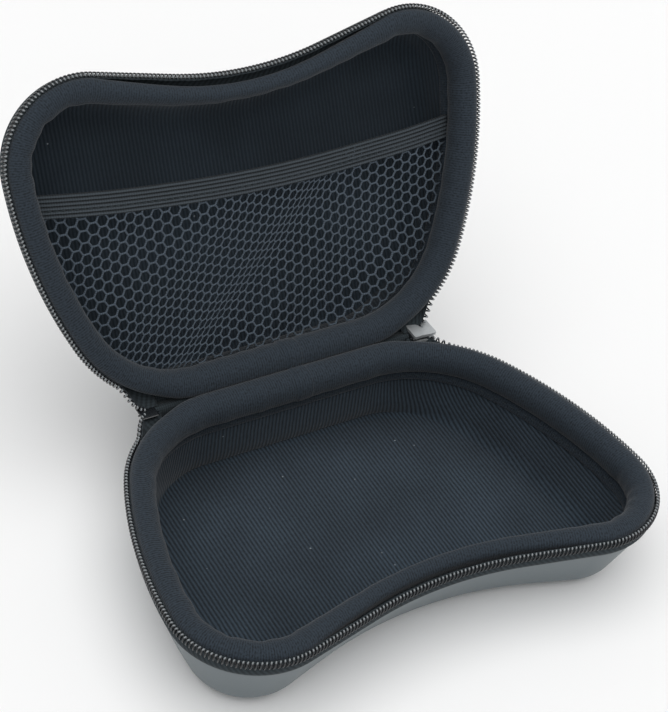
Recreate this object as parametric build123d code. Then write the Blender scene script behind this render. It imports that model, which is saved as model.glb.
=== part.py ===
from build123d import *
import math
import os

# Hard carrying case for a game controller, modelled open.
# Millimetres, +Z up, +Y towards the hinge. The origin is the middle of the base's
# flat underside. Each half is first modelled opening upwards with its rim plane
# (where the two rows of zip teeth meet) at z = 0, and is then put in its place.

# Rim outline, seen from above, measured along the row of zip teeth
NOTCH_Y = 49.3          # distance of the middle of the front notch from the centre
NOTCH_R = 130.0         # radius of the front notch at the rim
LOBE_X = 60.8           # centre of the round grip lobes
LOBE_Y = -30.8
LOBE_R = 28.1
SIDE_R = 152.0          # long bowed sides between lobe and rear corner
REAR_X = 32.0           # centre of the rear corner arcs
REAR_Y = 8.5
REAR_R = 46.5
HINGE_Y = REAR_Y + REAR_R

# Moulded bowls
BASE_DEPTH = 32.0       # rim plane to the flat underside
LID_DEPTH = 26.5
RIM_DROP = 4.8          # from the rim plane down to the edge of the moulded shell
RIM_INSET = 0.7         # shell's edge inside the line of teeth
DRAFT_DEG = 22.0        # lean of the side walls
BOTTOM_R = 12.0         # radius between wall and floor
NOTCH_DEEPER = 2.5      # how much deeper the notch is at the floor
NOTCH_TIGHTER = 5.0     # how much smaller the notch's radius is at the floor
BACK_UPRIGHT = 0.78     # share of the lean that the hinge side lacks, so the case stands open
SHELL_T = 3.2           # foam with its skin
LINING_T = 0.9          # ribbed knit lining
LAMINATE_GAP = 0.05     # glue line between shell and lining
LIP_CLEAR = 0.2         # from the sewn lip to the lining
FLOOR_STEPS = 6         # steps through the round between wall and floor

# Padded binding over the edge
ROLL_OUTER = 2.4        # outer side of the roll inside the line of teeth
ROLL_WIDTH = 8.0
ROLL_BACK_OUT = 0.9     # how much nearer to the hinge the roll's outer side lies there
ROLL_TOP = 0.4          # below the rim plane
ROLL_BOTTOM = 7.6
ROLL_R = 2.9            # rounding of the roll's edges
LIP_BOTTOM = 12.0       # lower edge of the flat sewn lip under the roll
LIP_T = 0.7
CLEAR = 0.1             # between sewn layers

# Zip: tape, coil and the closed tails at the ends of the hinge
TAPE_T = 0.5
TAPE_INSET = 0.9        # outer face of the tape inside the line of teeth
TAPE_TOP = 0.5          # below the rim plane
COIL_HALF = 0.85        # half the thickness of the coil
COIL_BACK = 2.7         # back of the coil below the rim plane
TOOTH_ROOT = 0.9        # below the rim plane
TOOTH_REACH = 0.6       # above the rim plane, into the other row
TOOTH_HALF = 0.7        # half a tooth's depth across the coil
TOOTH_PITCH = 2.8       # two turns of the real coil to a tooth
TOOTH_W = 1.15
COIL_END_X = 53.0       # the coil ends beside the hinge
STRIP_END_X = 50.0      # half the length of the cloth hinge
STRIP_INSET = 0.1       # outer face of the cloth hinge inside the hinge axis
STRIP_T = 0.6
STRIP_TOP = 0.3
END_GAP = 0.2           # between the ends of the zip tape and the cloth hinge

# Pocket in the lid
NET_LEVEL = 8.4         # below the rim plane, to the net's near face
NET_T = 0.6
NET_PITCH = 7.9         # spacing of the drawn holes, coarser than the real net
NET_BAR = 1.5           # width of the bars between the holes
NET_EDGE = 2.4          # plain edge inside the binding lip
ELASTIC_W = 7.0
ELASTIC_T = 0.6
ELASTIC_MID_Y = -14.8   # front edge of the elastic at the middle
ELASTIC_BOW = 5.2       # its ends lie this much nearer to the front
ELASTIC_HALF = 77.0     # half span at which the bow is measured
ELASTIC_RIBS = 5
ELASTIC_RIB_H = 0.25

# Slider and pull tab, parked at the right end of the hinge
TAIL_LENGTH = 6.0       # closed chain beyond the cloth hinge
TAIL_W = 6.4            # width of the trimmed tape
TAIL_COIL_W = 5.0       # the two meshed coils together
TAIL_COIL_H = 1.6
SLIDER_L = 8.6
SLIDER_W = 7.4
SLIDER_PLATE = 1.1
SLIDER_FLANGE = 0.7     # thickness of the side walls
SLIDER_CLEAR = 0.15     # between the slider and the chain
SLIDER_OFFSET = 0.5     # from the cloth hinge's end to the slider
SLIDER_POST_L = 2.0
SLIDER_POST_W = 1.8
BRIDGE_L = 6.0
BRIDGE_W = 2.0
BRIDGE_BAR = 1.0
BRIDGE_HOLE_H = 1.6
TAB_T = 1.2
TAB_W = 6.4
TAB_L = 20.0            # pivot to the free end
TAB_EYE_L = 5.0         # inside length of the eye
TAB_RAIL = 1.6          # width of the eye's two sides
TAB_CORNER = 1.6
TAB_GRIP_W = 2.6        # slot in the grip
TAB_GRIP_L = 7.0

# Pose of the lid
LID_OPEN_DEG = 116.0

RIM_Z = BASE_DEPTH
BINDING_INNER = ROLL_OUTER + ROLL_WIDTH


def side_centre(rear_y):
    """Centre of the side arc, tangent inside to the lobe arc and the rear corner arc."""
    a = SIDE_R - LOBE_R
    b = SIDE_R - REAR_R
    dx, dy = REAR_X - LOBE_X, rear_y - LOBE_Y
    d = math.hypot(dx, dy)
    along = (a * a - b * b + d * d) / (2 * d)
    across = math.sqrt(a * a - along * along)
    return (LOBE_X + (along * dx - across * dy) / d, LOBE_Y + (along * dy + across * dx) / d)


def arc_about(centre, start, end):
    """Arc of less than half a turn about centre, from start to end."""
    sx, sy = start[0] - centre[0], start[1] - centre[1]
    ex, ey = end[0] - centre[0], end[1] - centre[1]
    scale = math.hypot(sx, sy) / math.hypot(sx + ex, sy + ey)
    return ThreePointArc(start, (centre[0] + (sx + ex) * scale, centre[1] + (sy + ey) * scale), end)


def towards(centre, other, radius):
    """Point at radius from centre, on the line from other through centre."""
    dx, dy = centre[0] - other[0], centre[1] - other[1]
    d = math.hypot(dx, dy)
    return (centre[0] + dx * radius / d, centre[1] + dy * radius / d)


def outline(inset, depth=0.0, back=0.0):
    """Closed outline, inset evenly; depth is 0 at the rim and 1 at the floor, back moves the hinge side out."""
    notch_r = NOTCH_R - NOTCH_TIGHTER * depth
    notch = (0.0, -NOTCH_Y + NOTCH_DEEPER * depth - notch_r)
    lobe = (LOBE_X, LOBE_Y)
    rear = (REAR_X, REAR_Y + back)
    side = side_centre(rear[1])
    dx, dy = lobe[0] - notch[0], lobe[1] - notch[1]
    d = math.hypot(dx, dy)
    turn = math.acos(min(1.0, (notch_r + LOBE_R) / d))
    mx = (dx * math.cos(turn) - dy * math.sin(turn)) / d
    my = (dx * math.sin(turn) + dy * math.cos(turn)) / d
    notch_r += inset
    lobe_r = LOBE_R - inset
    rear_r = REAR_R - inset
    a = (notch[0] + notch_r * mx, notch[1] + notch_r * my)
    b = (lobe[0] - lobe_r * mx, lobe[1] - lobe_r * my)
    c = towards(lobe, side, lobe_r)
    e = towards(rear, side, rear_r)
    f = (rear[0], rear[1] + rear_r)

    def left(p):
        return (-p[0], p[1])

    right_half = [Line(a, b), arc_about(lobe, b, c), arc_about(side, c, e), arc_about(rear, e, f)]
    left_half = [
        arc_about(left(rear), left(f), left(e)),
        arc_about(left(side), left(e), left(c)),
        arc_about(left(lobe), left(c), left(b)),
        Line(left(b), left(a)),
    ]
    front = arc_about(notch, left(a), a)
    return Wire([front] + right_half + [Line(f, left(f))] + left_half)


def plate(inset, z_low, z_high, depth=0.0, back=0.0):
    """Slab with the case's outline between two levels."""
    return extrude(Pos(0, 0, z_low) * make_face(outline(inset, depth, back)), amount=z_high - z_low)


def ring(outer_inset, inner_inset, z_low, z_high, depth=0.0):
    """Upright band along the rim."""
    return plate(outer_inset, z_low, z_high, depth) - plate(inner_inset, z_low, z_high, depth)


def wall_inset(drop, thickness=0.0):
    """Inset of the leaning wall at a drop below the rim plane, at a thickness inwards."""
    lean = math.radians(DRAFT_DEG)
    return RIM_INSET + (drop - RIM_DROP) * math.tan(lean) + thickness / math.cos(lean)


def hinge_side_out(skin_inset):
    """How far the hinge side stands out beyond the even lean, where the skin has this inset."""
    return BACK_UPRIGHT * (skin_inset - RIM_INSET)


def bowl(full_depth, thickness=0.0):
    """Solid filling of the moulded bowl, offset inwards by thickness, up to the rim's edge."""
    lean = math.radians(DRAFT_DEG)
    centre_drop = full_depth - BOTTOM_R
    end_drop = centre_drop + BOTTOM_R * math.sin(lean)
    centre_inset = wall_inset(end_drop) + BOTTOM_R * math.cos(lean)
    radius = BOTTOM_R - thickness
    levels = [(RIM_DROP, wall_inset(RIM_DROP, thickness), RIM_INSET)]
    for step in range(FLOOR_STEPS + 1):
        angle = lean + (math.pi / 2 - lean) * step / FLOOR_STEPS
        skin = centre_inset - BOTTOM_R * math.cos(angle)
        levels.append((centre_drop + radius * math.sin(angle), skin + thickness * math.cos(angle), skin))
    sections = []
    for drop, inset, skin in levels:
        depth = (drop - RIM_DROP) / (full_depth - RIM_DROP)
        sections.append(Pos(0, 0, -drop) * outline(inset, depth, hinge_side_out(skin)))
    return Solid.make_loft(sections, ruled=True)


def shell(full_depth):
    """Moulded foam shell with its smooth skin."""
    return bowl(full_depth) - bowl(full_depth, SHELL_T)


def lining(full_depth):
    """Knit lining on the inside of the shell."""
    return bowl(full_depth, SHELL_T + LAMINATE_GAP) - bowl(full_depth, SHELL_T + LINING_T)


def slab(z_low, z_high):
    """Wide flat block between two levels, to cut a layer out of a bowl."""
    return Pos(0, 0, z_low) * Box(
        4 * LOBE_X, 4 * LOBE_X, z_high - z_low, align=(Align.CENTER, Align.CENTER, Align.MIN)
    )


def binding(full_depth):
    """Padded roll over the edge, with the flat lip that is sewn to the wall under it."""
    roll = plate(ROLL_OUTER, -ROLL_BOTTOM, -ROLL_TOP, back=ROLL_BACK_OUT)
    roll -= plate(BINDING_INNER, -ROLL_BOTTOM, -ROLL_TOP)
    roll = fillet(roll.edges().filter_by(Plane.XY), ROLL_R)
    lined = bowl(full_depth, SHELL_T + LINING_T + LIP_CLEAR)
    over_tape = wall_inset(RIM_DROP, SHELL_T + LINING_T + LIP_CLEAR)
    roll -= plate(0, -LIP_BOTTOM, -RIM_DROP) - lined
    roll -= ring(0, over_tape, -RIM_DROP, -RIM_DROP + TAPE_T + CLEAR)
    lip = lined - bowl(full_depth, SHELL_T + LINING_T + LIP_CLEAR + LIP_T)
    return roll + (lip & slab(-LIP_BOTTOM, -ROLL_BOTTOM + ROLL_R))


def rim_band(inset, thickness, top, half_gap, keep_back):
    """L-shaped cloth: upright along the rim and flat on the shell's edge under the roll."""
    upright = ring(inset, inset + thickness, -RIM_DROP, -top)
    flat = ring(inset, wall_inset(RIM_DROP, SHELL_T + LINING_T), -RIM_DROP, -RIM_DROP + TAPE_T)
    back = Pos(0, HINGE_Y, 0) * Box(2 * half_gap, 2 * (REAR_R - LOBE_R), 4 * RIM_DROP)
    band = upright + flat
    return band & back if keep_back else band - back


def zip_tape():
    """Woven tape of one side of the zip, all round except along the hinge."""
    return rim_band(TAPE_INSET, TAPE_T, TAPE_TOP, STRIP_END_X + END_GAP, False)


def hinge_strip():
    """One side of the cloth hinge, up to the fold."""
    return rim_band(STRIP_INSET, STRIP_T, STRIP_TOP, STRIP_END_X, True)


def zip_coil(offset):
    """One row of the coil, with its teeth moved along by a share of the pitch."""
    line = outline(0)
    length = line.length
    teeth = []
    body = ring(-COIL_HALF, COIL_HALF, -COIL_BACK, -TOOTH_ROOT)
    back = Pos(0, HINGE_Y, 0) * Box(2 * COIL_END_X, 2 * (REAR_R - LOBE_R), 4 * RIM_DROP)
    tooth = Box(TOOTH_W, 2 * TOOTH_HALF, TOOTH_ROOT + TOOTH_REACH, align=(Align.CENTER, Align.CENTER, Align.MIN))
    middle = line.param_at_point((0, -NOTCH_Y, 0)) * length
    for number in range(int(length / 2 / TOOTH_PITCH) + 1):
        for sign in (-1, 1):
            along = sign * (number + offset) * TOOTH_PITCH
            if number + offset == 0 and sign < 0:
                continue
            share = ((middle + along) / length) % 1.0
            point = line.position_at(share)
            if point.Y > 0 and abs(point.X) < COIL_END_X + TOOTH_W:
                continue
            tangent = line.tangent_at(share)
            turn = math.degrees(math.atan2(tangent.Y, tangent.X))
            teeth.append(Pos(point.X, point.Y, -TOOTH_ROOT) * Rot(0, 0, turn) * tooth)
    return (body - back) + teeth


def elastic_front(behind):
    """Plan of the space in front of a bowed line that runs behind the elastic's front edge."""
    radius = (ELASTIC_HALF**2 + ELASTIC_BOW**2) / (2 * ELASTIC_BOW)
    return Pos(0, ELASTIC_MID_Y - radius) * Circle(radius + behind)


def pocket_layer(z_low, z_high):
    """Layer of the lid's inside between two levels, just within the binding's lip."""
    space = bowl(LID_DEPTH, SHELL_T + LINING_T + LIP_CLEAR + LIP_T + CLEAR)
    return space & slab(z_low, z_high)


def net_hole_places():
    """Middles of the net's holes, in staggered rows, clear of its sewn edge and the elastic."""
    depth = (NET_LEVEL - RIM_DROP) / (LID_DEPTH - RIM_DROP)
    edge = wall_inset(NET_LEVEL + NET_T, SHELL_T + LINING_T + LIP_CLEAR + LIP_T + NET_EDGE)
    back = hinge_side_out(wall_inset(NET_LEVEL))
    inside = make_face(outline(edge + NET_PITCH / 2, depth, back)) - elastic_front(ELASTIC_W + NET_PITCH / 2)
    box = inside.bounding_box()
    row_step = NET_PITCH * math.sqrt(3) / 2
    rows = int((box.max.Y - box.min.Y) / row_step) + 1
    columns = int(box.max.X / NET_PITCH) + 1
    places = []
    for row in range(rows):
        for column in range(-columns, columns + 1):
            middle = Vector((column + (row % 2) / 2) * NET_PITCH, box.max.Y - row * row_step, 0)
            if inside.is_inside(middle):
                places.append(middle)
    return places


def pocket_net():
    """Open net, drawn with fewer and larger holes than the real one."""
    sheet = pocket_layer(-NET_LEVEL - NET_T, -NET_LEVEL)
    sheet -= Pos(0, 0, -NET_LEVEL - NET_T) * extrude(elastic_front(0), amount=NET_T)
    hole = RegularPolygon((NET_PITCH - NET_BAR) / math.sqrt(3), 6, rotation=30)
    cutter = Pos(0, 0, -NET_LEVEL - NET_T) * extrude(hole, amount=NET_T)
    return sheet - [Pos(place.X, place.Y, 0) * cutter for place in net_hole_places()]


def pocket_elastic():
    """Ribbed elastic along the mouth of the pocket."""
    low = ELASTIC_T - ELASTIC_RIB_H
    layer = pocket_layer(-NET_LEVEL, -NET_LEVEL + ELASTIC_T)
    band = elastic_front(ELASTIC_W) - elastic_front(0)
    step = ELASTIC_W / ELASTIC_RIBS
    strips = Pos(0, 0, -NET_LEVEL) * extrude(band, amount=low)
    for rib in range(ELASTIC_RIBS):
        strip = elastic_front(step * (rib + 0.8)) - elastic_front(step * (rib + 0.2))
        strips += Pos(0, 0, -NET_LEVEL + low) * extrude(strip, amount=ELASTIC_RIB_H)
    across = layer & strips
    return across & Pos(0, ELASTIC_MID_Y, 0) * Box(4 * LOBE_X, 4 * ELASTIC_W, 4 * ROLL_BOTTOM)


def zip_tail(side):
    """Short closed length of chain past the end of the cloth hinge."""
    tape = Box(TAIL_LENGTH, TAIL_W, TAPE_T, align=(Align.MIN, Align.CENTER, Align.MAX))
    chain = Box(TAIL_LENGTH, TAIL_COIL_W, TAIL_COIL_H, align=(Align.MIN, Align.CENTER, Align.MAX))
    slot = Box(TOOTH_W / 2, TAIL_COIL_W, TAIL_COIL_H / 3, align=(Align.CENTER, Align.CENTER, Align.MAX))
    chain = Pos(0, 0, -TAPE_T) * chain
    for number in range(int(TAIL_LENGTH / TOOTH_PITCH * 2)):
        x = (number + 0.5) * TOOTH_PITCH / 2
        chain -= Pos(x, 0, -TAPE_T - TAIL_COIL_H * 2 / 3) * slot
    tail = Pos(STRIP_END_X, HINGE_Y, tail_top()) * (tape + chain)
    return tail if side > 0 else mirror(tail, Plane.YZ)


def tail_top():
    """Level of the chain's flat side, chain and slider lying across the hinge axis."""
    return (TAPE_T + TAIL_COIL_H) / 2 - TOOTH_ROOT


def slider_outline(length, wide, narrow):
    """Slider seen flat: narrow at the closed end, wide at the mouth."""
    shape = Polyline(
        (0, -narrow / 2), (length * 0.35, -narrow / 2), (length * 0.7, -wide / 2), (length, -wide / 2),
        (length, wide / 2), (length * 0.7, wide / 2), (length * 0.35, narrow / 2), (0, narrow / 2), close=True,
    )
    return make_face(shape)


def slider_channel_h():
    """Clear height between the slider's two plates."""
    return TAPE_T + TAIL_COIL_H + 2 * SLIDER_CLEAR


def slider_low():
    """Level of the slider's outer face, which carries the bridge and looks down."""
    return tail_top() + SLIDER_CLEAR - slider_channel_h() - SLIDER_PLATE


def slider_body():
    """Cast slider: two plates, a post between them, side walls and the bridge for the tab."""
    narrow = TAIL_COIL_W + 2 * SLIDER_CLEAR + 2 * SLIDER_FLANGE
    full = slider_outline(SLIDER_L, SLIDER_W, narrow)
    height = slider_channel_h()
    top = fillet(extrude(full, amount=SLIDER_PLATE).edges().filter_by(Axis.Z), 0.5)
    walls = extrude(full, amount=height * 0.42) - extrude(
        Pos(-1, 0, 0) * slider_outline(SLIDER_L + 2, SLIDER_W - 2 * SLIDER_FLANGE, narrow - 2 * SLIDER_FLANGE),
        amount=height,
    )
    post = Pos(SLIDER_L - SLIDER_POST_L, 0, 0) * Box(
        SLIDER_POST_L, SLIDER_POST_W, height, align=(Align.MIN, Align.CENTER, Align.MIN)
    )
    bridge = Box(BRIDGE_L, BRIDGE_W, BRIDGE_BAR + BRIDGE_HOLE_H, align=(Align.CENTER, Align.CENTER, Align.MAX))
    bridge = fillet(bridge.edges().filter_by(Axis.Y).sort_by(Axis.Z)[:2], BRIDGE_BAR)
    bridge -= Box(
        BRIDGE_L - 2 * BRIDGE_BAR, BRIDGE_W, BRIDGE_HOLE_H, align=(Align.CENTER, Align.CENTER, Align.MAX)
    )
    low = slider_low()
    body = Pos(0, 0, low) * top
    body += Pos(0, 0, low + SLIDER_PLATE) * walls
    body += Pos(0, 0, low + SLIDER_PLATE) * post
    body += Pos(0, 0, low + SLIDER_PLATE + height) * top
    body += Pos(SLIDER_L / 2, 0, low) * bridge
    return Pos(STRIP_END_X + SLIDER_OFFSET, HINGE_Y, 0) * body


def tab_pivot():
    """Point on the pull tab's axis, in the slider's bridge."""
    return (STRIP_END_X + SLIDER_OFFSET + SLIDER_L / 2, HINGE_Y, slider_low() - BRIDGE_HOLE_H / 2)


def pull_tab():
    """Flat tab that hangs from the bridge by the round bar across its eye."""
    plan = Pos(-TAB_L / 2, 0) * RectangleRounded(TAB_L, TAB_W, TAB_CORNER)
    plan += Pos(-TAB_EYE_L / 2, 0) * Rectangle(TAB_EYE_L, TAB_W)
    eye = Pos(-TAB_EYE_L / 2, 0) * Rectangle(TAB_EYE_L, TAB_W - 2 * TAB_RAIL)
    grip_middle = -TAB_L + TAB_CORNER + TAB_GRIP_L / 2
    grip = Pos(grip_middle, 0) * RectangleRounded(TAB_GRIP_L, TAB_GRIP_W, TAB_GRIP_W * 0.45)
    bar = Rot(90, 0, 0) * Cylinder(TAB_T / 2, TAB_W)
    flat = extrude(plan - eye - grip, amount=TAB_T / 2, both=True) + bar
    x, y, z = tab_pivot()
    return Pos(x, y, z) * Rot(0, -90, 0) * flat


def on_base(shape):
    """Place a piece of the base half."""
    return Pos(0, 0, RIM_Z) * shape


def on_lid(shape):
    """Turn a half-case piece over onto the rim plane and open it about the hinge."""
    closed = mirror(shape, Plane.XY)
    at_hinge = Pos(0, -HINGE_Y, 0) * closed
    return Pos(0, HINGE_Y, RIM_Z) * Rot(-LID_OPEN_DEG, 0, 0) * at_hinge


def build():
    nodes = {
        "base_shell": on_base(shell(BASE_DEPTH)),
        "base_lining": on_base(lining(BASE_DEPTH)),
        "base_binding": on_base(binding(BASE_DEPTH)),
        "base_zip_tape": on_base(zip_tape()),
        "base_zip_coil": on_base(zip_coil(0.5)),
        "hinge_strip_base": on_base(hinge_strip()),
        "zip_tail_left": on_base(zip_tail(-1)),
        "zip_tail_right": on_base(zip_tail(1)),
        "slider_body": on_base(slider_body()),
        "pull_tab": on_base(pull_tab()),
        "lid_shell": on_lid(shell(LID_DEPTH)),
        "lid_lining": on_lid(lining(LID_DEPTH)),
        "lid_binding": on_lid(binding(LID_DEPTH)),
        "lid_zip_tape": on_lid(zip_tape()),
        "lid_zip_coil": on_lid(zip_coil(0.0)),
        "hinge_strip_lid": on_lid(hinge_strip()),
        "pocket_net": on_lid(pocket_net()),
        "pocket_elastic": on_lid(pocket_elastic()),
    }
    os.makedirs("parts", exist_ok=True)
    for name, shape in nodes.items():
        export_step(shape, f"parts/{name}.step")
    print("tab pivot", tab_pivot(), "outline width", outline(0).bounding_box().size.X)


build()
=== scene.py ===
"""Dresses a hard carrying case for a game controller, open on its hinge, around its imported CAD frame."""

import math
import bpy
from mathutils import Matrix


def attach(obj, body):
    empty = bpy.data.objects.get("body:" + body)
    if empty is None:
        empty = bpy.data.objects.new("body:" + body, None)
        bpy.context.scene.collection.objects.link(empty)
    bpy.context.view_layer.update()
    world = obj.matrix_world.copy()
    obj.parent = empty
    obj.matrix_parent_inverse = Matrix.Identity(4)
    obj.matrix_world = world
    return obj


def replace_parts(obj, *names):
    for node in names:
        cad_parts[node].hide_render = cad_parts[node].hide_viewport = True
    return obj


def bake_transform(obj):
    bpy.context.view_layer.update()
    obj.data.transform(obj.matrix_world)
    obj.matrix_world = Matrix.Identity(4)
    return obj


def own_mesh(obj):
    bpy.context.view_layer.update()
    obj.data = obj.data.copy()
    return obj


bl_info = {
    "name": "Controller carrying case",
    "version": (1, 0, 0),
    "blender": (4, 5, 0),
    "location": "View3D > Sidebar > Case",
    "description": "Skin, knit lining, padded binding, coil zip, net pocket and hinge cloth of a case",
    "category": "Add Mesh",
}

import bmesh
import bpy
import numpy as np
from bpy.props import FloatProperty, FloatVectorProperty, IntProperty, PointerProperty
from mathutils import Matrix

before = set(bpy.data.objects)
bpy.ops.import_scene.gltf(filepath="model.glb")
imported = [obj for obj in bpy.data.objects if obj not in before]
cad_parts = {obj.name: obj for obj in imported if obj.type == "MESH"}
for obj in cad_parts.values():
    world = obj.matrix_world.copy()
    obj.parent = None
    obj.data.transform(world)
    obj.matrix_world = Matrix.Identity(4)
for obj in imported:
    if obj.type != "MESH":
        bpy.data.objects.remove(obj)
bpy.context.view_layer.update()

# Rim outline in millimetres, along the row of zip teeth, as in the CAD model
NOTCH_Y = 49.3
NOTCH_R = 130.0
LOBE_X = 60.8
LOBE_Y = -30.8
LOBE_R = 28.1
SIDE_R = 152.0
REAR_X = 32.0
REAR_Y = 8.5
REAR_R = 46.5
HINGE_Y = REAR_Y + REAR_R
BASE_DEPTH = 32.0
LID_DEPTH = 26.5
RIM_DROP = 4.8
RIM_INSET = 0.7
LEAN = math.radians(22.0)
BOTTOM_R = 12.0
FLOOR_MID_Y = 4.0
NOTCH_DEEPER = 2.5
NOTCH_TIGHTER = 5.0
BACK_UPRIGHT = 0.78
SHELL_T = 3.2
LINING_T = 0.9
COIL_END_X = 53.0
STRIP_END_X = 50.0
TAIL_END_X = 56.0
ROLL_FOOT = 11.8
COIL_DROP = 1.05
COIL_HALF_W = 0.85
COIL_HALF_H = 1.65
SEAM_DROP = 9.9
NET_LEVEL = 8.4
NET_INSET = 8.0
NET_MID_Y = 15.0
ELASTIC_W = 8.0
ELASTIC_MID_Y = -14.6
ELASTIC_BOW = 5.2
ELASTIC_HALF = 77.0
ELASTIC_SLOPE = 0.036
KNIT_SLANT = 1.8       # degrees
LID_OPEN = math.radians(116.0)

MM = 1000.0            # in a metre
IMAGE_W, IMAGE_H = 668, 712


def linear(hex_colour):
    """One sRGB hex colour as linear RGB."""
    parts = [int(hex_colour[i : i + 2], 16) / 255 for i in (1, 3, 5)]
    return tuple(c / 12.92 if c <= 0.04045 else ((c + 0.055) / 1.055) ** 2.4 for c in parts)


def colour_prop(name, description, hex_colour):
    shared = {"subtype": "COLOR", "size": 3, "min": 0.0, "max": 1.0}
    return FloatVectorProperty(name=name, description=description, default=linear(hex_colour), **shared)


def size_prop(name, description, default, low):
    return FloatProperty(name=name, description=description + ", mm", default=default, min=low)


class CaseSizes(bpy.types.PropertyGroup):
    """Sizes of the sewn and moulded pieces, in millimetres unless a name says otherwise."""

    coil_pitch: size_prop("Coil pitch", "From tooth to tooth", 1.4, 1.0)
    coil_wire: size_prop("Coil wire", "Thickness of the monofilament", 0.62, 0.2)
    knit_rib: size_prop("Knit rib", "Spacing of the lining's ribs", 1.4, 0.5)
    binding_rib: size_prop("Binding rib", "Spacing of the binding's ribs", 0.9, 0.5)
    net_cell: size_prop("Net cell", "Spacing of the net's cells", 4.0, 2.0)
    net_strand: size_prop("Net strand", "Width of the net's strands", 0.42, 0.2)
    net_wave: size_prop("Net wave", "Height of the net's slack waves", 0.9, 0.0)
    elastic_ribs: IntProperty(name="Elastic ribs", description="Cords knitted into it", default=6, min=1)


class CaseColours(bpy.types.PropertyGroup):
    """Colours of the case's materials."""

    skin: colour_prop("Skin", "Smooth coated outer skin", "#555e62")
    lining: colour_prop("Lining", "Ribbed knit inside the bowls", "#262f37")
    binding: colour_prop("Binding", "Knit over the padded rim", "#1f262d")
    tape: colour_prop("Tape", "Woven zip tape and hinge cloth", "#2a3135")
    coil: colour_prop("Coil", "Nylon coil of the zip", "#1d2023")
    # Pale colour painted on the crest of every turn of the coil: a painted highlight, where the lamps' glint
    # falls on the wire
    head_highlight: colour_prop("Heads", "Polished heads of the coil's turns", "#7f8487")
    net: colour_prop("Net", "Strands of the pocket net", "#46505a")
    elastic: colour_prop("Elastic", "Ribbed elastic of the pocket", "#282d31")
    metal: colour_prop("Metal", "Slider and pull tab", "#b4b8ba")
    floor: colour_prop("Floor", "Floor and backdrop", "#f4f4f4")


# Outline of the case, worked out for whole arrays

def side_centre(rear_y):
    """Centre of the side arc, tangent inside to the lobe arc and the rear corner arc."""
    a = SIDE_R - LOBE_R
    b = SIDE_R - REAR_R
    dx, dy = REAR_X - LOBE_X, rear_y - LOBE_Y
    d = np.hypot(dx, dy)
    along = (a * a - b * b + d * d) / (2 * d)
    across = np.sqrt(a * a - along * along)
    return LOBE_X + (along * dx - across * dy) / d, LOBE_Y + (along * dy + across * dx) / d


def outline_parts(depth, back):
    """Centres, radii and end angles of the right half's six parts, for a depth from rim 0 to floor 1."""
    notch_r = NOTCH_R - NOTCH_TIGHTER * depth
    notch_y = -NOTCH_Y + NOTCH_DEEPER * depth - notch_r
    rear_y = REAR_Y + back
    side_x, side_y = side_centre(rear_y)
    dx, dy = LOBE_X, LOBE_Y - notch_y
    between = np.hypot(dx, dy)
    tangent = np.arctan2(dy, dx) + np.arccos(np.minimum(1.0, (notch_r + LOBE_R) / between))
    lobe_to_side = np.arctan2(LOBE_Y - side_y, LOBE_X - side_x)
    rear_to_side = np.arctan2(rear_y - side_y, REAR_X - side_x)
    return notch_r, notch_y, rear_y, side_x, side_y, tangent, lobe_to_side, rear_to_side


def part_ends():
    """Distances along the rim, from the notch's middle to the back's middle, where its parts end."""
    notch_r, notch_y, rear_y, side_x, side_y, tangent, start, end = outline_parts(0.0, 0.0)
    joint = math.hypot(
        notch_r * math.cos(tangent) - (LOBE_X - LOBE_R * math.cos(tangent)),
        notch_y + notch_r * math.sin(tangent) - (LOBE_Y - LOBE_R * math.sin(tangent)),
    )
    lengths = [
        notch_r * (math.pi / 2 - tangent),
        joint,
        LOBE_R * (start - (tangent - math.pi)),
        SIDE_R * (end - start),
        REAR_R * (math.pi / 2 - end),
        REAR_X,
    ]
    return np.concatenate([[0.0], np.cumsum(lengths)])


ENDS = part_ends()
HALF_RIM = float(ENDS[-1])
RIM = 2 * HALF_RIM


def rim(s, inset=0.0, depth=0.0, back=0.0):
    """Point and outward normal at s mm round the rim from the middle of the notch, inset evenly.

    Each of the six parts of the right half is an arc or a line, taken at the same share of its turn
    at any inset, so that the lines across the rim stay in step. The left half is its mirror image.
    """
    s, inset, depth, back = np.broadcast_arrays(s, inset, depth, back)
    s = (s + HALF_RIM) % RIM - HALF_RIM
    notch_r, notch_y, rear_y, side_x, side_y, tangent, start, end = outline_parts(depth, back)
    place = np.clip(np.abs(s), 0.0, HALF_RIM - 1e-9)
    part = np.clip(np.searchsorted(ENDS, place, side="right") - 1, 0, 5)
    share = (place - ENDS[part]) / (ENDS[part + 1] - ENDS[part])
    right = math.pi / 2
    arcs = [
        (0.0, notch_y, notch_r + inset, right, tangent),
        (LOBE_X, LOBE_Y, LOBE_R - inset, tangent - math.pi, start),
        (side_x, side_y, SIDE_R - inset, start, end),
        (REAR_X, rear_y, REAR_R - inset, end, right),
    ]

    def on_arc(arc, place):
        centre_x, centre_y, radius, first, last = arc
        angle = first + (last - first) * place
        return centre_x + radius * np.cos(angle), centre_y + radius * np.sin(angle), angle

    rows = [on_arc(arc, share) for arc in arcs]
    (notch_x, low_y, _), (lobe_x, lobe_y, _) = on_arc(arcs[0], 1.0), on_arc(arcs[1], 0.0)
    rows.insert(1, (notch_x + (lobe_x - notch_x) * share, low_y + (lobe_y - low_y) * share, tangent))
    rows.append((REAR_X * (1 - share), rear_y + REAR_R - inset, np.full(s.shape, right)))
    x, y, angle = (np.choose(part, column) for column in zip(*rows))
    outwards = np.where(part <= 1, -1.0, 1.0)
    mirror = np.where(s < 0, -1.0, 1.0)
    return mirror * x, y, mirror * outwards * np.cos(angle), outwards * np.sin(angle)


def wall_inset(drop, thickness=0.0):
    """Inset of the leaning wall at a drop below the rim plane, at a thickness inwards."""
    return RIM_INSET + (drop - RIM_DROP) * math.tan(LEAN) + thickness / math.cos(LEAN)


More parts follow.
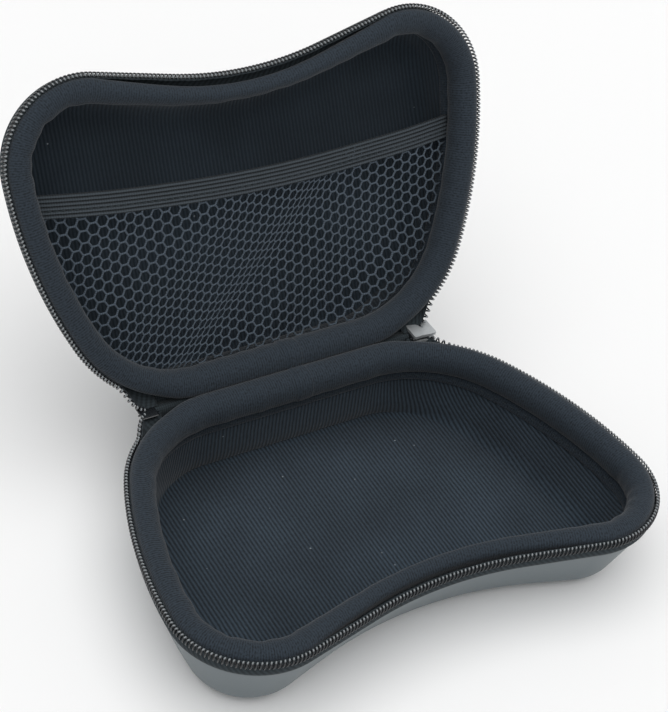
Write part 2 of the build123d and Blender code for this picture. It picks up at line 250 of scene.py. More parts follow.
def down_wall(half, drop):
    """Share of the way down to the floor, and set-back of the hinge side, at a drop below the rim plane."""
    depth = (drop - RIM_DROP) / (depth_of(half) - RIM_DROP)
    return depth, BACK_UPRIGHT * (wall_inset(drop) - RIM_INSET)


def bowl_line(full_depth, thickness, steps_wall, steps_round):
    """Drop, inset and the skin's inset down the bowl's wall and round to its floor, top first.

    A straight lean from the rim's edge, then a quarter round of the bottom radius less the thickness.
    """
    centre_drop = full_depth - BOTTOM_R
    end_drop = centre_drop + BOTTOM_R * math.sin(LEAN)
    centre_inset = wall_inset(end_drop) + BOTTOM_R * math.cos(LEAN)
    radius = BOTTOM_R - thickness
    angle = np.linspace(LEAN, math.pi / 2, steps_round)
    skin = centre_inset - BOTTOM_R * np.cos(angle)
    drop = centre_drop + radius * np.sin(angle)
    inset = skin + thickness * np.cos(angle)
    share = np.linspace(0, 1, steps_wall, endpoint=False)
    first = wall_inset(RIM_DROP, thickness)
    drops = np.concatenate([RIM_DROP + (drop[0] - RIM_DROP) * share, drop])
    insets = np.concatenate([first + (inset[0] - first) * share, inset])
    skins = np.concatenate([RIM_INSET + (skin[0] - RIM_INSET) * share, skin])
    return drops, insets, skins


def bowl_rings(full_depth, drops, insets, skins, s):
    """Rings of points round a bowl's wall, one column per step down the wall's line."""
    depth = (drops - RIM_DROP) / (full_depth - RIM_DROP)
    x, y, _, _ = rim(s[:, None], insets[None], depth[None], BACK_UPRIGHT * (skins[None] - RIM_INSET))
    return np.stack([x, y, np.broadcast_to(-drops, x.shape)], axis=2)


def floor_rings(edge, steps):
    """Rings that shrink evenly from a flat edge towards the middle of the floor."""
    middle = np.array([0.0, FLOOR_MID_Y, edge[0, 2]])
    share = np.linspace(1, 0, steps + 1)[1:-1]
    return middle + (edge[:, None] - middle) * share[None, :, None]


def in_base(points):
    """Millimetres in the half's own frame, rim plane at 0 and bowl below it, to the row frame in metres."""
    return (points + np.array([0.0, 0.0, BASE_DEPTH])) / MM


def in_lid(points):
    """The same for the lid: turned over onto the rim plane and opened about the hinge."""
    x, y, z = points[..., 0], points[..., 1] - HINGE_Y, -points[..., 2]
    cos, sin = math.cos(LID_OPEN), math.sin(LID_OPEN)
    turned = np.stack([x, HINGE_Y + y * cos + z * sin, BASE_DEPTH - y * sin + z * cos], axis=-1)
    return turned / MM


# Meshes from grids of points

def grid_part(points, u, v, closed_u=False, closed_v=False, capped=False, poles=None):
    """Vertices and faces over grids of points (grids, columns, rows, 3), with u and v in mm as UV.

    Each face joins four neighbours, so its normal is the u direction crossed with the v direction.
    capped closes both ends of a tube with a flat face; poles is a pair of points that close the
    first and last row of every column with fans of triangles.
    """
    grids, columns, rows = points.shape[:3]
    across, down = columns - 1 + closed_u, rows - 1 + closed_v
    i, j = (places.ravel() for places in np.meshgrid(np.arange(across), np.arange(down), indexing="ij"))
    ci = np.stack([i, i + 1, i + 1, i], axis=1)
    cj = np.stack([j, j, j + 1, j + 1], axis=1)
    starts = np.arange(grids)[:, None, None] * columns * rows
    faces = starts + (ci % columns) * rows + cj % rows
    corner_uv = np.broadcast_to(np.stack([u[ci], v[cj]], axis=2), (grids, len(ci), 4, 2))
    groups = [(faces.reshape(-1, 4), corner_uv.reshape(-1, 4, 2))]
    vertices = points.reshape(-1, 3)
    if capped:
        around = np.arange(rows)
        first = starts[:, :, 0] + around
        last = starts[:, :, 0] + (columns - 1) * rows + around[::-1]
        caps = np.concatenate([first, last])
        groups.append((caps, np.zeros((len(caps), rows, 2))))
    if poles is not None:
        around = np.arange(columns)
        nearer = (around + 1) % columns
        low = np.stack([np.full(columns, len(vertices)), nearer * rows, around * rows], axis=1)
        high = np.stack([np.full(columns, len(vertices) + 1), around * rows, nearer * rows], axis=1)
        high[:, 1:] += rows - 1
        vertices = np.concatenate([vertices, np.asarray(poles)])
        fans = np.concatenate([low, high])
        groups.append((fans, np.zeros((len(fans), 3, 2))))
    return vertices, groups


def mesh_object(name, parts, place, flip=False, weld=False):
    """One smooth mesh from several parts in millimetres; place puts them in the row frame in metres.

    weld joins points that lie on each other, where neighbouring parts share a border.
    """
    vertices = np.concatenate([part[0] for part in parts])
    offsets = np.cumsum([0] + [len(part[0]) for part in parts[:-1]])
    loops, uvs, counts = [], [], []
    for offset, (_, groups) in zip(offsets, parts):
        for faces, corner_uv in groups:
            step = -1 if flip else 1
            loops.append((faces[:, ::step] + offset).ravel())
            uvs.append(corner_uv[:, ::step].reshape(-1, 2))
            counts.append(np.full(len(faces), faces.shape[1]))
    loops, uvs, counts = np.concatenate(loops), np.concatenate(uvs), np.concatenate(counts)
    mesh = bpy.data.meshes.new(name)
    mesh.vertices.add(len(vertices))
    mesh.vertices.foreach_set("co", place(vertices).astype(np.float32).ravel())
    mesh.loops.add(len(loops))
    mesh.loops.foreach_set("vertex_index", loops.astype(np.int32))
    mesh.polygons.add(len(counts))
    mesh.polygons.foreach_set("loop_start", (np.cumsum(counts) - counts).astype(np.int32))
    mesh.polygons.foreach_set("use_smooth", np.ones(len(counts), bool))
    layer = mesh.uv_layers.new(name="Cloth")
    layer.data.foreach_set("uv", uvs.astype(np.float32).ravel())
    mesh.update(calc_edges=True)
    mesh.validate()
    if weld:
        work = bmesh.new()
        work.from_mesh(mesh)
        bmesh.ops.remove_doubles(work, verts=work.verts, dist=2e-6)
        bmesh.ops.dissolve_degenerate(work, edges=work.edges, dist=1e-6)
        work.to_mesh(mesh)
        work.free()
    made = bpy.data.objects.new(name, mesh)
    bpy.context.scene.collection.objects.link(made)
    return made


def smooth_loop(controls, samples):
    """Closed curve through control rows, samples to each, by the Catmull-Rom cubic of four neighbours."""
    count = len(controls)
    place = np.arange(count * samples) / samples
    i = np.floor(place).astype(int)
    f = (place - i)[:, None]
    a, b, c, d = (controls[(i + k) % count] for k in (-1, 0, 1, 2))
    return 0.5 * (2 * b + (c - a) * f + (2 * a - 5 * b + 4 * c - d) * f**2 + (3 * b - a - 3 * c + d) * f**3)


def tube_round(centre, radius, sides, across):
    """Tube about lines of points (lines, points, 3); across is a direction not along the line.

    Each ring lies in the plane square to the line's run, which is the difference of its neighbours.
    """
    run = np.gradient(centre, axis=1)
    run /= np.linalg.norm(run, axis=2, keepdims=True)
    side = across - (across * run).sum(axis=2, keepdims=True) * run
    side /= np.linalg.norm(side, axis=2, keepdims=True)
    third = np.cross(run, side)
    angle = -np.arange(sides) * 2 * math.pi / sides
    ring = side[:, :, None] * np.cos(angle)[:, None] + third[:, :, None] * np.sin(angle)[:, None]
    return centre[:, :, None] + ring * np.asarray(radius)[..., None, None]


def round_length(section):
    """Distance round a closed section, from its first point to each next one and back to the first."""
    steps = np.linalg.norm(np.diff(section, axis=0, append=section[:1]), axis=1)
    return np.concatenate([[0.0], np.cumsum(steps)])


def thread(name, half, centre, radius, across, along):
    """Sewing thread: five-sided tubes about lines of points, each with its lengths along in mm as UV."""
    points = tube_round(centre, radius, 5, across)
    part = grid_part(points, along, np.arange(6) * 0.2, closed_v=True, capped=True)
    return mesh_object(name, [part], *half_of(half))


def half_of(half):
    """Placing function, and whether faces are turned over, for the base or the lid."""
    return (in_lid, True) if half == "lid" else (in_base, False)


def depth_of(half):
    return LID_DEPTH if half == "lid" else BASE_DEPTH


def rim_place_of_x(x_end):
    """Distance along the rim of the point on the rear corner whose x is x_end."""
    s = np.linspace(ENDS[4], ENDS[5], 400)
    return float(np.interp(-x_end, -rim(s)[0], s))


# Materials

def add_node(tree, kind, settings=None, links=None):
    """Add one node; settings go to its properties or inputs, and links join sockets to its inputs.

    A node given as a link stands for its first output.
    """
    made = tree.nodes.new("ShaderNode" + kind)
    for key, value in (settings or {}).items():
        if isinstance(key, str) and hasattr(made, key):
            setattr(made, key, value)
        else:
            made.inputs[key].default_value = value
    for key, source in (links or {}).items():
        socket = source.outputs[0] if isinstance(source, bpy.types.Node) else source
        tree.links.new(socket, made.inputs[key])
    return made


def start_material(name):
    """Empty node material and its tree."""
    material = bpy.data.materials.new(name)
    material.use_nodes = True
    material.node_tree.nodes.clear()
    return material, material.node_tree


def end_material(tree, height, strength, depth, settings, links):
    """Shader and output of a material, with the height of its pattern as a bump of depth mm."""
    bump = add_node(tree, "Bump", {"Strength": strength, "Distance": depth / MM}, {"Height": height})
    shader = add_node(tree, "BsdfPrincipled", settings, {**links, "Normal": bump})
    add_node(tree, "OutputMaterial", None, {"Surface": shader})


def shade_of(colour, factor=1.0):
    """A colour made lighter or darker by a factor, with its alpha."""
    return (*(min(1.0, c * factor) for c in colour), 1.0)


def band_scale(spacing):
    """Scale of a wave texture whose bands lie this far apart: its sine has 20 radians to a unit."""
    return 2 * math.pi / 20 / spacing


def moulded_skin(colour):
    """Polyester with a smooth polyurethane coat, heat moulded: a satin sheen and a very fine grain."""
    material, tree = start_material("moulded_coated_polyester")
    where = add_node(tree, "TexCoord").outputs["Object"]
    grain = add_node(tree, "TexNoise", {"Scale": MM / 0.9, "Detail": 3.0}, {"Vector": where})
    cloud = add_node(tree, "TexNoise", {"Scale": MM / 20, "Detail": 4.0}, {"Vector": where})
    ends = {"data_type": "RGBA", 6: shade_of(colour), 7: shade_of(colour, 1.35)}
    shade = add_node(tree, "Mix", ends, {0: cloud})
    rough = add_node(tree, "MapRange", {3: 0.38, 4: 0.5}, {0: cloud})
    satin = {"IOR": 1.5, "Specular IOR Level": 0.55}
    end_material(tree, grain, 0.35, 0.06, satin, {"Base Color": shade.outputs[2], "Roughness": rough})
    return material


def ribbed_knit(name, colour, rib, lighter, darker):
    """Brushed polyester knit laminated to foam: soft ribs that run from the hinge to the front, and lint.

    The ribs follow the moulding's blank, and stitches a little longer than wide break them into dashes.
    Lighter and darker are its contrast; the lid's copy gets flatter, darker tones: painted shade, as less
    light falls inside the lid, so its ribs show less.
    """
    material, tree = start_material(name)
    where = add_node(tree, "TexCoord")
    body = where.outputs["Object"]
    slant = {"Rotation": (0.0, 0.0, math.radians(KNIT_SLANT))}
    turned = add_node(tree, "Mapping", slant, {"Vector": where.outputs["UV"]})
    bands = {"bands_direction": "X", "Scale": band_scale(rib), "Distortion": 0.7, "Detail": 2.0}
    bands["Detail Scale"] = 1.6
    ribs = add_node(tree, "TexWave", bands, {"Vector": turned})
    longer = add_node(tree, "Mapping", {"Scale": (1.0, 0.4, 1.0)}, {"Vector": turned})
    fuzz = add_node(tree, "TexNoise", {"Scale": 1 / 0.55, "Detail": 3.0}, {"Vector": longer})
    wear = add_node(tree, "TexNoise", {"Scale": MM / 30, "Detail": 3.0}, {"Vector": body})
    napped = {"operation": "MULTIPLY_ADD", 1: 0.9}
    height = add_node(tree, "Math", napped, {0: fuzz, 2: ribs.outputs[1]})
    tone = add_node(tree, "MapRange", {1: 0.35, 2: 1.6}, {0: height})
    ends = {"data_type": "RGBA", 6: shade_of(colour, darker), 7: shade_of(colour, lighter)}
    shade = add_node(tree, "Mix", ends, {0: tone})
    wear_and_highlight = add_node(tree, "MapRange", {1: 0.3, 2: 0.7, 3: 0.8, 4: 1.2}, {0: wear})
    spread = add_node(tree, "VectorMath", {"operation": "SCALE"}, {0: shade.outputs[2], "Scale": wear_and_highlight})
    cells = add_node(tree, "TexVoronoi", {"Scale": MM / 11}, {"Vector": body})
    near = {"operation": "LESS_THAN", 1: 0.028}
    lint = add_node(tree, "Math", near, {0: cells.outputs["Distance"]})
    pale = {"data_type": "RGBA", 7: shade_of(linear("#6f767c"))}
    specked = add_node(tree, "Mix", pale, {0: lint, 6: spread})
    matt = {"Roughness": 0.95, "Specular IOR Level": 0.2, "Sheen Weight": 0.12, "Sheen Roughness": 0.5}
    end_material(tree, height, 0.7, 0.18, matt, {"Base Color": specked.outputs[2]})
    return material


def cloth_on_uv(
    name,
    colour,
    across,
    along,
    direction="X",
    strength=0.5,
    lighter=1.4,
    darker=0.6,
    sheen=0.05,
    rib=1.0,
    cross=0.5,
    nap=0.5,
):
    """Cloth whose threads follow the piece's own UV map in mm: two crossing sets of bands and a fuzz.

    across and along are the spacings of the bands along u and v; lighter and darker are how the raised
    threads and the dents between them differ from the colour; rib, cross and nap are the shares of the
    first set, of the second and of the fuzz, whose hairs lie along v.
    """
    material, tree = start_material(name)
    where = add_node(tree, "TexCoord").outputs["UV"]
    longer = add_node(tree, "Mapping", {"Scale": (1.0, 0.7, 1.0)}, {"Vector": where})
    fuzz = add_node(tree, "TexNoise", {"Scale": 1 / 0.6, "Detail": 3.0}, {"Vector": longer})
    bands = {"bands_direction": direction, "Scale": band_scale(across), "Distortion": 0.4, "Detail": 1.0}
    first = add_node(tree, "TexWave", bands, {"Vector": where})
    bands.update({"bands_direction": "Y", "Scale": band_scale(along)})
    second = add_node(tree, "TexWave", bands, {"Vector": where})
    height = add_node(tree, "Math", {"operation": "MULTIPLY", 1: rib}, {0: first.outputs[1]})
    for share, pattern in ((cross, second.outputs[1]), (nap, fuzz.outputs[0])):
        added = {"operation": "MULTIPLY_ADD", 1: share}
        height = add_node(tree, "Math", added, {0: pattern, 2: height})
    span = {1: 0.15 * rib + 0.35 * nap, 2: 0.85 * rib + cross + 0.5 * nap}
    tone = add_node(tree, "MapRange", span, {0: height})
    ends = {"data_type": "RGBA", 6: shade_of(colour, darker), 7: shade_of(colour, lighter)}
    shade = add_node(tree, "Mix", ends, {0: tone})
    matt = {"Roughness": 0.9, "Specular IOR Level": 0.25, "Sheen Weight": sheen, "Sheen Roughness": 0.45}
    end_material(tree, height, strength, 0.15, matt, {"Base Color": shade.outputs[2]})
    return material


def hard_finish(name, colour, roughness, metallic, grain, strength, painted_highlight=None):
    """Drawn nylon or cast metal: an even colour whose gloss varies a little over a fine grain.

    The optional pair is the pale colour of a painted highlight on a coil's turns, with the coil's pitch in
    mm; its UV map has the turn's angle as a length, so a wave of that pitch is at its crest on every head.
    """
    material, tree = start_material(name)
    where = add_node(tree, "TexCoord")
    fine = {"Scale": MM / grain, "Detail": 3.0}
    noise = add_node(tree, "TexNoise", fine, {"Vector": where.outputs["Object"]})
    rough = add_node(tree, "MapRange", {3: roughness * 0.8, 4: roughness * 1.25}, {0: noise})
    ends = {"data_type": "RGBA", 6: shade_of(colour, 0.85), 7: shade_of(colour, 1.15)}
    shade = add_node(tree, "Mix", ends, {0: noise})
    # Painted highlight: the crest of every turn of the coil is mixed towards a pale colour, where the lamps'
    # glint would fall
    if painted_highlight:
        pale, pitch = painted_highlight
        crests = {"bands_direction": "X", "Scale": band_scale(pitch), "Phase Offset": math.pi / 2}
        turns = add_node(tree, "TexWave", crests, {"Vector": where.outputs["UV"]})
        head = add_node(tree, "MapRange", {1: 0.85, 2: 1.0}, {0: turns.outputs[1]})
        wear_and_highlight = {"data_type": "RGBA", 7: shade_of(pale)}
        shade = add_node(tree, "Mix", wear_and_highlight, {0: head, 6: shade.outputs[2]})
    links = {"Base Color": shade.outputs[2], "Roughness": rough}
    end_material(tree, noise, strength, 0.04, {"Metallic": metallic}, links)
    return material


def finish_of(key):
    """Material of one of the record's slots, or of a variant of it, made the first time it is asked for."""
    colours = bpy.context.scene.case_colours
    sizes = bpy.context.scene.case_sizes
    cord = ELASTIC_W / sizes.elastic_ribs
    # The binding's fuzz hides most of its ribs, so it looks softer and more even than the lining
    brushed = {"rib": 0.45, "cross": 0.0, "nap": 2.0, "strength": 0.6, "lighter": 1.7, "darker": 0.5}
    brushed["sheen"] = 0.12
    # The elastic's cords stand high; its pale lines with dark gaps are painted as well: painted shade in the
    # gaps between the cords and a painted highlight on their crests
    corded_with_painted_shade = {"cross": 4.0, "nap": 0.6, "lighter": 2.8, "darker": 0.2, "sheen": 0.1}
    # Twill lines give the narrow tape a sheen that changes along the rim
    twill = {"direction": "DIAGONAL", "strength": 0.4}
    # Fine yarn looks like drawn lines, a little lighter than the lining behind it
    yarn = {"strength": 0.3, "sheen": 0.1}
    # Pale painted highlight for the crest of each turn of the coil, with the pitch that places it
    head_highlight = (colours.head_highlight, sizes.coil_pitch)
    made = {
        "shell_skin": lambda: moulded_skin(colours.skin),
        "knit_lining": lambda: ribbed_knit("ribbed_knit_base", colours.lining, sizes.knit_rib, 1.9, 0.42),
        # The lid's lining is the same cloth with flatter, darker tones: painted shade, as the lid's lining
        # gets less light than the base's floor
        "knit_lining_lid_painted_shade": lambda: ribbed_knit("ribbed_knit_lid_painted_shade", colours.lining, sizes.knit_rib, 1.25, 0.6),
        "knit_binding": lambda: cloth_on_uv(
            "brushed_knit_binding", colours.binding, sizes.binding_rib, 1.0, **brushed
        ),
        "zip_tape": lambda: cloth_on_uv("woven_zip_tape", colours.tape, 1.0, 0.6, **twill),
        "hinge_cloth": lambda: cloth_on_uv("woven_hinge_cloth", colours.tape, 0.8, 0.8),
        "nylon_coil": lambda: hard_finish("drawn_nylon_coil_painted_highlight", colours.coil, 0.25, 0.0, 0.5, 0.1, head_highlight),
        "cast_metal": lambda: hard_finish("painted_zinc_casting", colours.metal, 0.4, 0.5, 0.6, 0.2),
        "pocket_net_yarn": lambda: cloth_on_uv("knitted_net_yarn", colours.net, 0.5, 0.5, **yarn),
        "woven_elastic": lambda: cloth_on_uv("ribbed_elastic", colours.elastic, 0.9, cord, **corded_with_painted_shade),
    }
    if key not in MATERIALS:
        MATERIALS[key] = made[key]()
    return MATERIALS[key]


MATERIALS = {}


def dress(piece, slot, body, finish=None):
    """Give a piece the material of its slot, and let it ride on its body; finish names a variant."""
    piece.data.materials.clear()
    piece.data.materials.append(finish_of(finish or slot))
    if body:
        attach(piece, body)
    return piece


# Pieces

def closed_bowl(half, name, outer_t, inner_t, columns):
    """Moulding between two bowls: one profile from the middle of the outer floor to that of the inner.

    Its UV map is the blank it was moulded from, in mm: the floor as it lies, and each point of the
    wall as far outside the floor's edge as the wall is long up to it.
    """
    s = np.arange(columns) * RIM / columns - HALF_RIM
    _, _, nx, ny = rim(s)
    outwards = np.stack([nx, ny], axis=1)[:, None]
    sides, blanks = [], []
    for thickness in (outer_t, inner_t):
        drops, insets, skins = bowl_line(depth_of(half), thickness, 6, 12)
        wall = bowl_rings(depth_of(half), drops, insets, skins, s)
        steps = np.hypot(np.diff(drops), np.diff(insets)) - np.diff(insets)
        longer = np.concatenate([np.cumsum(steps[::-1])[::-1], [0.0]])
        floor = floor_rings(wall[:, -1], 14)
        sides.append(np.concatenate([wall, floor], axis=1))
        unrolled = wall[..., :2] + outwards * longer[None, :, None]
        blanks.append(np.concatenate([unrolled, floor[..., :2]], axis=1))
    points = np.concatenate([sides[0][:, ::-1], sides[1]], axis=1)
    blank = np.concatenate([blanks[0][:, ::-1], blanks[1]], axis=1).reshape(-1, 2)
    blank = np.concatenate([blank, [(0.0, FLOOR_MID_Y)] * 2])
    poles = [(0.0, FLOOR_MID_Y, points[0, row, 2]) for row in (0, -1)]
    rows = np.arange(points.shape[1])
    vertices, groups = grid_part(points[None], np.arange(columns + 1), rows, closed_u=True, poles=poles)
    on_blank = [(faces, blank[faces]) for faces, _ in groups]
    return mesh_object(name, [(vertices, on_blank)], *half_of(half))


def front_share(s):
    """1 in the middle of the front notch, where the roll lies back from the tape, and 0 from the lobes on."""
    return np.clip(1 - (np.abs(s) / ENDS[2]) ** 2, 0, 1)


def binding_controls(half):
    """Control rows of the padded roll's section: inset, height, share of the wall's lean it follows."""
    lip_out = SHELL_T + LINING_T + 0.9
    lip_in = SHELL_T + LINING_T + 0.25
    pad = [(2.9, -4.2), (1.95, -3.3), (1.6, -1.9), (1.15, -0.2), (1.75, 1.4), (3.5, 2.4)]
    pad += [(5.6, 2.45), (7.5, 1.6), (8.9, 0.0), (9.55, -2.1), (9.55, -4.2), (9.0, -6.0)]
    lip = [(8.0, lip_out - 0.1), (9.2, lip_out + 0.15), (10.8, lip_out + 0.1), (ROLL_FOOT, lip_out - 0.2)]
    lip += [(ROLL_FOOT - 0.1, lip_in), (9.4, lip_in), (7.0, lip_in)]
    return np.array(
        [
            *((inset, z, 0.0) for inset, z in pad),
            (8.2, -7.2, 0.3),
            *((wall_inset(drop, thickness), -drop, 1.0) for drop, thickness in lip),
            (wall_inset(5.0, lip_in), -5.0, 0.6),
            (wall_inset(4.8, lip_in) - 0.2, -4.25, 0.0),
            (3.9, -4.2, 0.0),
        ]
    )


def binding_roll(half, rib):
    """Padded knit roll: its section carried round the rim, with cross ribs and small gathers.

    Each point moves away from the roll's core by a cosine of the distance along the rim, by gathers
    of a few millimetres where the rim is tightly curved, and by a step where the knit's ends overlap.
    """
    per_rib = 3
    columns = int(RIM / rib) * per_rib
    s = np.arange(columns) * RIM / columns - HALF_RIM
    section = smooth_loop(binding_controls(half), 2)
    inset, z, lean = section.T
    depth, back = (lean * part for part in down_wall(half, np.clip(-z, RIM_DROP, None)))
    core_inset, core_z = 5.6, -2.6
    reach = np.hypot(inset - core_inset, z - core_z)
    pads = (lean < 0.2) & (z > -7.0)
    random = np.random.default_rng(11 if half == "lid" else 7)
    phases = random.uniform(0, 2 * math.pi, 5)
    waves = random.uniform(7.0, 16.0, 5)
    tight = np.clip(1 - np.abs(np.abs(s) - (ENDS[2] + ENDS[3]) / 2) / 45, 0, 1)
    turns = 2 * math.pi * s[:, None] / RIM * np.rint(RIM / waves)
    gathers = np.sin(turns + phases).sum(axis=1) * (0.04 + 0.06 * tight)
    knit = 0.03 * np.cos(2 * math.pi * s * int(RIM / rib) / RIM)
    join = HALF_RIM - 6.0
    overlap = 0.3 * np.clip((s - join) / 0.8, 0, 1)
    inner = np.clip((inset - 5.0) / 4.0, 0.15, 1.0)
    swell = (knit + overlap)[:, None] + gathers[:, None] * inner
    swell = swell * np.where(pads, 1.0, 0.25)
    pulled = 2.4 * front_share(s)[:, None] * (pads * np.clip((8.4 - inset) / 6.0, 0, 1))
    out_inset = inset + (inset - core_inset) / reach * swell + pulled
    out_z = z + (z - core_z) / reach * swell - 0.25 * pulled
    # Along the hinge the roll reaches further out, to the cloth, and is fuller at its outer shoulder
    behind = np.clip((STRIP_END_X + 1.0 - np.abs(rim(s)[0])) / 12.0, 0, 1) * (np.abs(s) > ENDS[4])
    behind = (behind * behind * (3 - 2 * behind))[:, None]
    shoulder = np.exp(-(((inset - 1.75) / 1.4) ** 2)) * (z > 0.2)
    out_inset = out_inset - behind * (0.5 * np.clip((6.4 - inset) / 3.6, 0, 1) + 0.3 * shoulder)
    out_z = out_z + 0.15 * behind * shoulder
    x, y, _, _ = rim(s[:, None], out_inset, depth[None], back[None])
    points = np.stack([x, y, out_z], axis=2)
    u = np.arange(columns + 1) * RIM / columns
    part = grid_part(points[None], u, round_length(section[:, :2]), closed_u=True, closed_v=True)
    return mesh_object(half + "_padded_binding", [part], *half_of(half))


def zip_tape(half):
    """Woven tape: a T section from the coil down over the skin's edge, and in under the roll."""
    end = rim_place_of_x(STRIP_END_X - 1.2)
    s = np.linspace(-end, end, 520)
    rows = [(0.85, -6.3), (0.5, -5.8), (0.3, -5.0), (0.4, -4.0), (0.65, -3.1), (0.8, -2.2), (0.9, -0.75)]
    rows += [(1.15, -0.5), (1.4, -0.75), (1.35, -2.2), (1.4, -3.6), (1.9, -4.3), (3.4, -4.35), (5.0, -4.35)]
    rows += [(5.0, -4.75), (3.4, -4.75), (1.3, -4.76), (0.6, -4.95), (0.95, -5.8), (1.15, -6.4)]
    section = smooth_loop(np.array(rows), 2)
    inset, z = section[:, 0][None], section[:, 1][None]
    ripple = 0.06 * np.sin(2 * math.pi * s / 11.0)[:, None] * np.clip((z + 4.6) / 3.0, 0, 1)
    x, y, _, _ = rim(s[:, None], inset + ripple, *down_wall(half, np.clip(-z, RIM_DROP, None)))
    y = y + to_hinge(s, y) * np.clip((z + 4.4) / 3.4, 0, 1)
    points = np.stack([x, y, np.broadcast_to(z, x.shape)], axis=2)
    part = grid_part(points[None], s + end, round_length(section), closed_v=True, capped=True)
    return mesh_object(half + "_woven_zip_tape", [part], *half_of(half))


def to_hinge(s, y):
    """How far the zip leaves the rim for the hinge line near its ends, so that its rows meet there."""
    share = np.clip((np.abs(s) - rim_place_of_x(COIL_END_X) + 11.0) / 11.0, 0, 1)
    share = (share**2 * (3 - 2 * share)).reshape(-1, *[1] * (np.ndim(y) - 1))
    return share * (HINGE_Y - 0.7 - y)


def coil_part(s, phase, centre_of, pitch, half_w, half_h, wire):
    """Helix of wire carried along a line: the turn's angle is the distance times a full turn a pitch.

    The wire's middle goes round an ellipse square to the line, half_w wide and half_h high. The wire is
    thinner than half a pitch, so that two rows mesh.
    """
    angle = 2 * math.pi * s / pitch + phase
    middle, outwards = centre_of(s)
    upwards = np.array([0.0, 0.0, 1.0])
    reach_w, reach_h = half_w - wire / 2, half_h - wire / 2
    cos, sin = np.cos(angle)[:, None], np.sin(angle)[:, None]
    centre = middle + outwards * reach_w * cos + upwards * reach_h * sin
    across = outwards * cos / reach_w + upwards * sin / reach_h
    points = tube_round(centre[None], wire / 2, 6, across[None])
    v = np.arange(7) * wire * math.pi / 6
    return grid_part(points, angle * pitch / (2 * math.pi), v, closed_v=True, capped=True)


def rim_coil(half, pitch, wire):
    """One row of the zip: a true helix all round the rim, the lid's half a pitch on from the base's."""
    end = rim_place_of_x(COIL_END_X)
    turns = int(2 * end / pitch)
    s = np.linspace(-turns * pitch / 2, turns * pitch / 2, turns * 14 + 1)

    def centre_of(along):
        x, y, nx, ny = rim(along)
        middle = np.stack([x, y + to_hinge(along, y), np.full(x.shape, -COIL_DROP)], axis=1)
        return middle, np.stack([nx, ny, 0 * nx], axis=1)

    phase = 0.0 if half == "lid" else math.pi
    part = coil_part(s, phase, centre_of, pitch, COIL_HALF_W, COIL_HALF_H, wire)
    return mesh_object(half + "_nylon_coil", [part], *half_of(half))


def zip_tail(side, pitch, wire):
    """Closed end of the chain: a trimmed tape with both rows of the coil meshed under it."""
    s = np.linspace(0.2, TAIL_END_X - STRIP_END_X - 0.2, 65)
    parts = []
    for row, phase in ((-1, 0.0), (1, math.pi)):

        def centre_of(along, row=row):
            x = side * (STRIP_END_X + along)
            middle = np.stack([x, 0 * x + HINGE_Y + row * 1.22, 0 * x - 1.15], axis=1)
            return middle, np.array([0.0, float(row), 0.0])

        vertices, groups = coil_part(s, phase, centre_of, pitch, 1.28, 0.8, wire)
        if side * row > 0:
            groups = [(faces[:, ::-1], uv[:, ::-1]) for faces, uv in groups]
        parts.append((vertices, groups))
    x = side * (STRIP_END_X + np.linspace(0, TAIL_END_X - STRIP_END_X, 13))
    angle = -side * np.arange(16) * 2 * math.pi / 16
    y = HINGE_Y + 3.2 * np.sign(np.cos(angle)) * np.abs(np.cos(angle)) ** 0.3
    z = -0.1 + 0.25 * np.sign(np.sin(angle)) * np.abs(np.sin(angle)) ** 0.6
    band = np.stack(np.broadcast_arrays(x[:, None], y[None], z[None]), axis=2)
    parts.append(grid_part(band[None], 0 * x, np.arange(17) * 0.8, closed_v=True, capped=True))
    name = "zip_tail_chain_right" if side > 0 else "zip_tail_chain_left"
    return mesh_object(name, parts, in_base)


def hinge_cloth():
    """Cloth of the hinge: one strip from under the base's roll, over the fold, to under the lid's.

    Its middle line is the upright leg of each half joined by a quadratic curve whose control point is
    where the two legs would meet; the strip has an even thickness square to that line.
    """
    leg = [(50.4, -4.55), (52.6, -4.55), (54.2, -4.5), (54.55, -4.1), (54.6, -3.2), (54.6, -2.0)]
    leg = np.array([(0.0, y, z) for y, z in leg])
    base, lid = (place(leg)[:, 1:] * MM for place in (in_base, in_lid))
    run_base, run_lid = base[-1] - base[-2], lid[-1] - lid[-2]
    shares = np.linalg.solve(np.stack([run_base, -run_lid], axis=1), lid[-1] - base[-1])
    meet = base[-1] + shares[0] * run_base
    t = np.linspace(0, 1, 11)[1:-1, None]
    fold = (1 - t) ** 2 * base[-1] + 2 * t * (1 - t) * meet + t**2 * lid[-1]
    line = np.concatenate([base, fold, lid[::-1]])
    run = np.gradient(line, axis=0)
    run /= np.linalg.norm(run, axis=1, keepdims=True)
    square = np.stack([-run[:, 1], run[:, 0]], axis=1) * 0.28
    around = np.concatenate([line + square, (line - square)[::-1]])
    x = np.linspace(-STRIP_END_X, STRIP_END_X, 101)
    points = np.stack(np.broadcast_arrays(x[:, None], *around.T), axis=2)
    part = grid_part(points[None], x - x[0], round_length(around), closed_v=True, capped=True)
    cloth = mesh_object("hinge_cloth_strip", [part], lambda p: p / MM, True)
    return cloth, base[-1] / MM, lid[-1] / MM


def elastic_edge(x):
    """Front edge of the elastic: bowed, and pulled a little forward at its left end."""
    return ELASTIC_MID_Y - ELASTIC_BOW * (x / ELASTIC_HALF) ** 2 + ELASTIC_SLOPE * x


def pocket_end(y, inset, side):
    """x of the lid's inside at an inset where the pocket's edge meets it, at a given y."""
    s = np.linspace(ENDS[2], ENDS[4], 400)
    px, py, _, _ = rim(s, inset)
    return side * float(np.interp(y, py, px))


